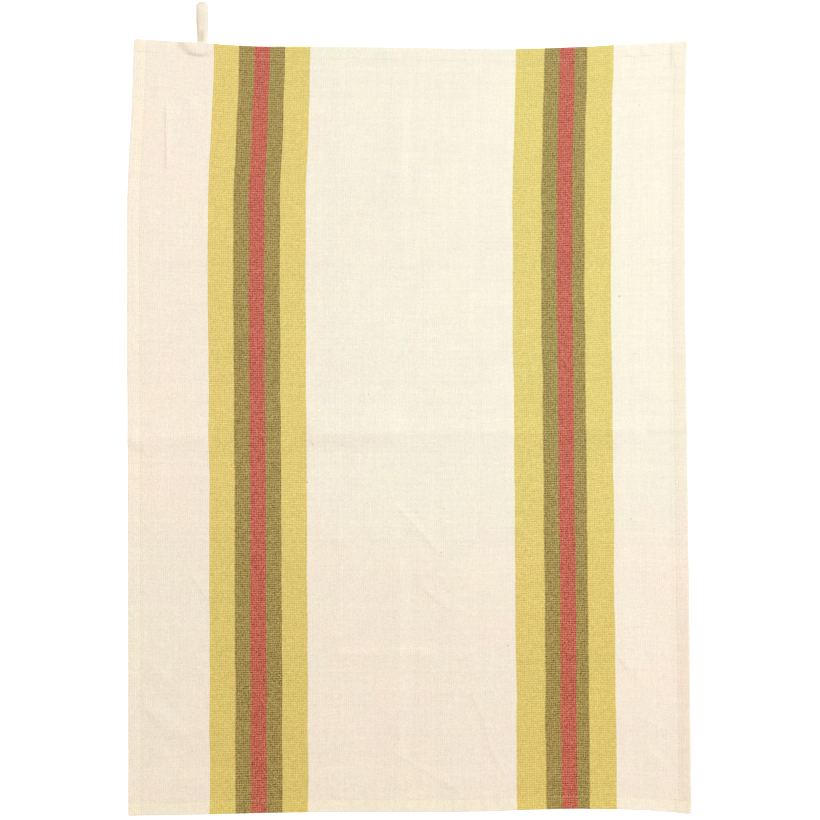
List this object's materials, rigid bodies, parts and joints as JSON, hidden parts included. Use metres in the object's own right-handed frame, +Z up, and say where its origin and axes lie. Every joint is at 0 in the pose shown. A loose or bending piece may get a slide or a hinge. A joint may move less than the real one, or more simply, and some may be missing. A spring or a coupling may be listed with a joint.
{
  "type": "tea towel",
  "caption": "Woven cotton tea towel with hemmed edges, lying flat and face up, and a tape loop to hang it by.",
  "frame": {"origin": "middle of the part's plan box, on the surface that it lies on", "axes": "+X across the towel to the right, +Y up the towel to the loop, +Z up from the surface"},
  "size_m": [0.508, 0.7319, 0.0074],
  "materials": {
    "cotton_cloth": "matt plain weave in undyed cotton, with lengthwise bands of yellow, olive and red warp",
    "cotton_tape": "matt narrow woven tape in undyed cotton"
  },
  "bodies": {
    "root": {"towel_cloth": "cotton_cloth", "hanging_loop": "cotton_tape"}
  },
  "joints": []
}
